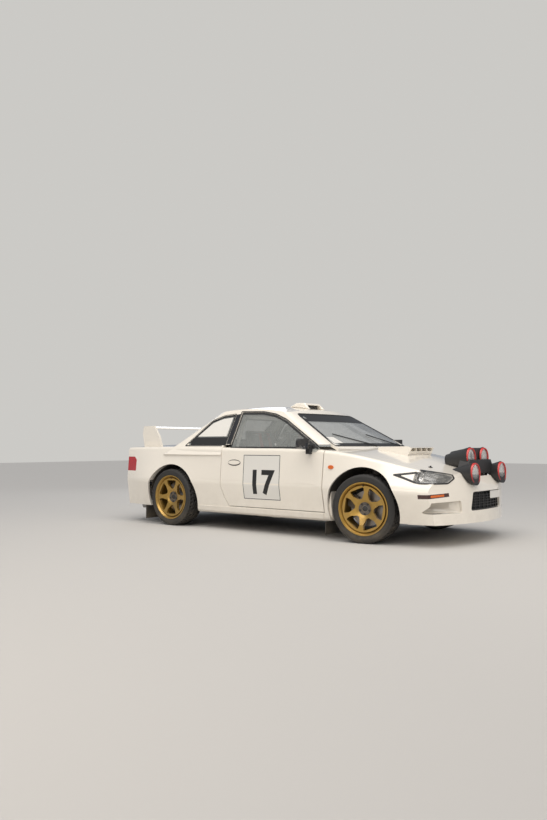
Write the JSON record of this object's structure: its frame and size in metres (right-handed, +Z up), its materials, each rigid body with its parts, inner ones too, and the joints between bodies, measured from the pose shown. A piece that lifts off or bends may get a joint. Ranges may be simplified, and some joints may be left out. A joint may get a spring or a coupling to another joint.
{
  "type": "two-door rally car",
  "caption": "Two-door rally car with wide arches, roof vent, rear wing, lamp pods, opening doors, bonnet and boot, steered front wheels.",
  "frame": {"origin": "on the ground, on the centre line, half way along the car", "axes": "+X forward to the nose, +Y to the car's left, +Z up"},
  "size_m": [4.3526, 2, 1.374],
  "materials": {
    "amber_lamp": "gloss",
    "black_plastic": "matte",
    "cage_paint": "satin",
    "fabric": "woven",
    "glass": "clear",
    "gold": "satin",
    "iron": "cast",
    "lamp": "clear",
    "paint": "gloss",
    "red_lamp": "gloss",
    "rubber": "matte",
    "steel": "brushed",
    "tyre": "matte"
  },
  "bodies": {
    "car": {"body_shell": "paint", "dashboard": "black_plastic", "driveline": "iron", "engine_block": "iron", "exhaust": "steel", "floor_pan": "paint", "front_bumper": "paint", "front_fenders": "paint", "front_suspension": "iron", "grille": "black_plastic", "headlamps": "lamp", "hinge_arms": "paint", "indicators": "amber_lamp", "mudflaps": "rubber", "quarter_glasses": "glass", "rear_bumper": "paint", "rear_suspension": "iron", "rear_uprights": "iron", "rear_window": "glass", "roll_cage": "cage_paint", "roof_vent": "paint", "seats": "fabric", "steering_column": "black_plastic", "tail_lamps": "red_lamp", "wheel_liners": "black_plastic", "windscreen": "glass", "wipers": "black_plastic"},
    "door_left": {"door_left": "paint", "door_glass_left": "glass", "mirror_left": "paint"},
    "door_right": {"door_right": "paint", "door_glass_right": "glass", "mirror_right": "paint"},
    "bonnet": {"bonnet": "paint", "bonnet_scoop": "paint", "lamp_pods": "black_plastic", "pod_lamps": "lamp"},
    "boot_lid": {"boot_lid": "paint", "rear_wing": "paint"},
    "steering_wheel": {"steering_wheel": "black_plastic"},
    "knuckle_left": {"knuckle_left": "iron"},
    "knuckle_right": {"knuckle_right": "iron"},
    "wheel_front_left": {"rim_front_left": "gold", "tyre_front_left": "tyre", "disc_front_left": "steel"},
    "wheel_front_right": {"rim_front_right": "gold", "tyre_front_right": "tyre", "disc_front_right": "steel"},
    "wheel_rear_left": {"rim_rear_left": "gold", "tyre_rear_left": "tyre", "disc_rear_left": "steel"},
    "wheel_rear_right": {"rim_rear_right": "gold", "tyre_rear_right": "tyre", "disc_rear_right": "steel"}
  },
  "joints": [
    {"name": "steer_left", "type": "hinge", "parent": "car", "child": "knuckle_left", "pos_m": [1.29, 0.68, 0.318], "axis": [0, 0, 1], "range_deg": [-43, 27]},
    {"name": "spin_front_left", "type": "hinge", "parent": "knuckle_left", "child": "wheel_front_left", "pos_m": [1.28033, 0.74882, 0.318], "axis": [-0.1392, 0.9903, 0], "continuous": true},
    {"name": "spin_rear_left", "type": "hinge", "parent": "car", "child": "wheel_rear_left", "pos_m": [-1.23, 0.7495, 0.318], "axis": [0, 1, 0], "continuous": true},
    {"name": "door_left_hinge", "type": "hinge", "parent": "car", "child": "door_left", "pos_m": [0.81, 0.833, 0.5], "axis": [0, 0, -1], "range_deg": [0, 65]},
    {"name": "steer_right", "type": "hinge", "parent": "car", "child": "knuckle_right", "pos_m": [1.29, -0.68, 0.318], "axis": [0, 0, 1], "range_deg": [-43, 27]},
    {"name": "spin_front_right", "type": "hinge", "parent": "knuckle_right", "child": "wheel_front_right", "pos_m": [1.29967, -0.74882, 0.318], "axis": [-0.1392, 0.9903, 0], "continuous": true},
    {"name": "spin_rear_right", "type": "hinge", "parent": "car", "child": "wheel_rear_right", "pos_m": [-1.23, -0.7495, 0.318], "axis": [0, 1, 0], "continuous": true},
    {"name": "door_right_hinge", "type": "hinge", "parent": "car", "child": "door_right", "pos_m": [0.81, -0.833, 0.5], "axis": [0, 0, 1], "range_deg": [0, 65]},
    {"name": "bonnet_hinge", "type": "hinge", "parent": "car", "child": "bonnet", "pos_m": [1.001, 0, 0.836], "axis": [0, -1, 0], "range_deg": [0, 55]},
    {"name": "boot_hinge", "type": "hinge", "parent": "car", "child": "boot_lid", "pos_m": [-1.323, 0, 0.881], "axis": [0, 1, 0], "range_deg": [0, 70]},
    {"name": "steering_wheel_turn", "type": "hinge", "parent": "car", "child": "steering_wheel", "pos_m": [0.33, 0.365, 0.765], "axis": [-0.9135, 0, 0.4067], "range_deg": [-516, 324]}
  ],
  "couplings": [
    {"joint": "steer_right", "follows": "steer_left", "ratio": 1},
    {"joint": "steering_wheel_turn", "follows": "steer_left", "ratio": 12}
  ]
}
